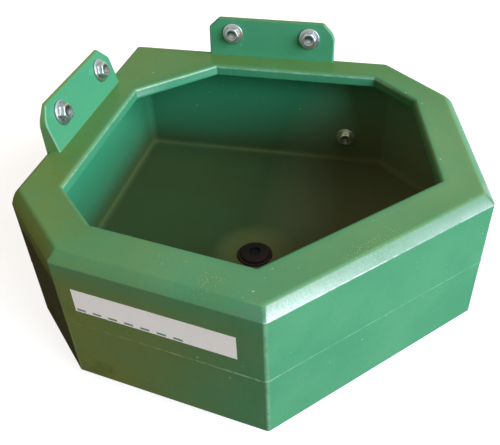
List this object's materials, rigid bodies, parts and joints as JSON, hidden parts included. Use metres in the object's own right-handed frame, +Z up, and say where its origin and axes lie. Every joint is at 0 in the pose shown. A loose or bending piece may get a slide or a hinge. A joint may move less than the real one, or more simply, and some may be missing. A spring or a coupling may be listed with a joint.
{
  "type": "corner feed manger",
  "caption": "Seven-sided moulded feed bowl for a stable corner, with a turned-down lip, two screwed wall tabs and a floor drain with a lift-out plug.",
  "frame": {"origin": "on the room's corner line, where the back wall and the left wall meet, level with the bowl's underside", "axes": "+X along the back wall, -Y along the left wall, +Z up; the bowl lies at +X and -Y of the corner"},
  "size_m": [0.5044, 0.5044, 0.2388],
  "materials": {
    "body": "satin rotationally moulded polyethylene, mid green",
    "fastener": "bright zinc plate",
    "washer": "bright zinc plate",
    "drain_fitting": "black moulded plastic",
    "rubber": "dull black rubber"
  },
  "bodies": {
    "bowl": {"manger_body": "body", "back_tab_screw_corner": "fastener", "back_tab_screw_end": "fastener", "back_wall_screw": "fastener", "left_tab_screw_corner": "fastener", "left_tab_screw_end": "fastener", "left_wall_screw": "fastener", "back_tab_washer_corner": "washer", "back_tab_washer_end": "washer", "back_wall_washer": "washer", "left_tab_washer_corner": "washer", "left_tab_washer_end": "washer", "left_wall_washer": "washer", "drain_bush": "drain_fitting", "drain_locknut": "drain_fitting", "drain_gasket": "rubber"},
    "plug": {"drain_plug": "rubber"}
  },
  "joints": [
    {"name": "plug_lift", "type": "slide", "parent": "bowl", "child": "plug", "axis": [0, 0, 1], "range_m": [0, 0.24]}
  ]
}
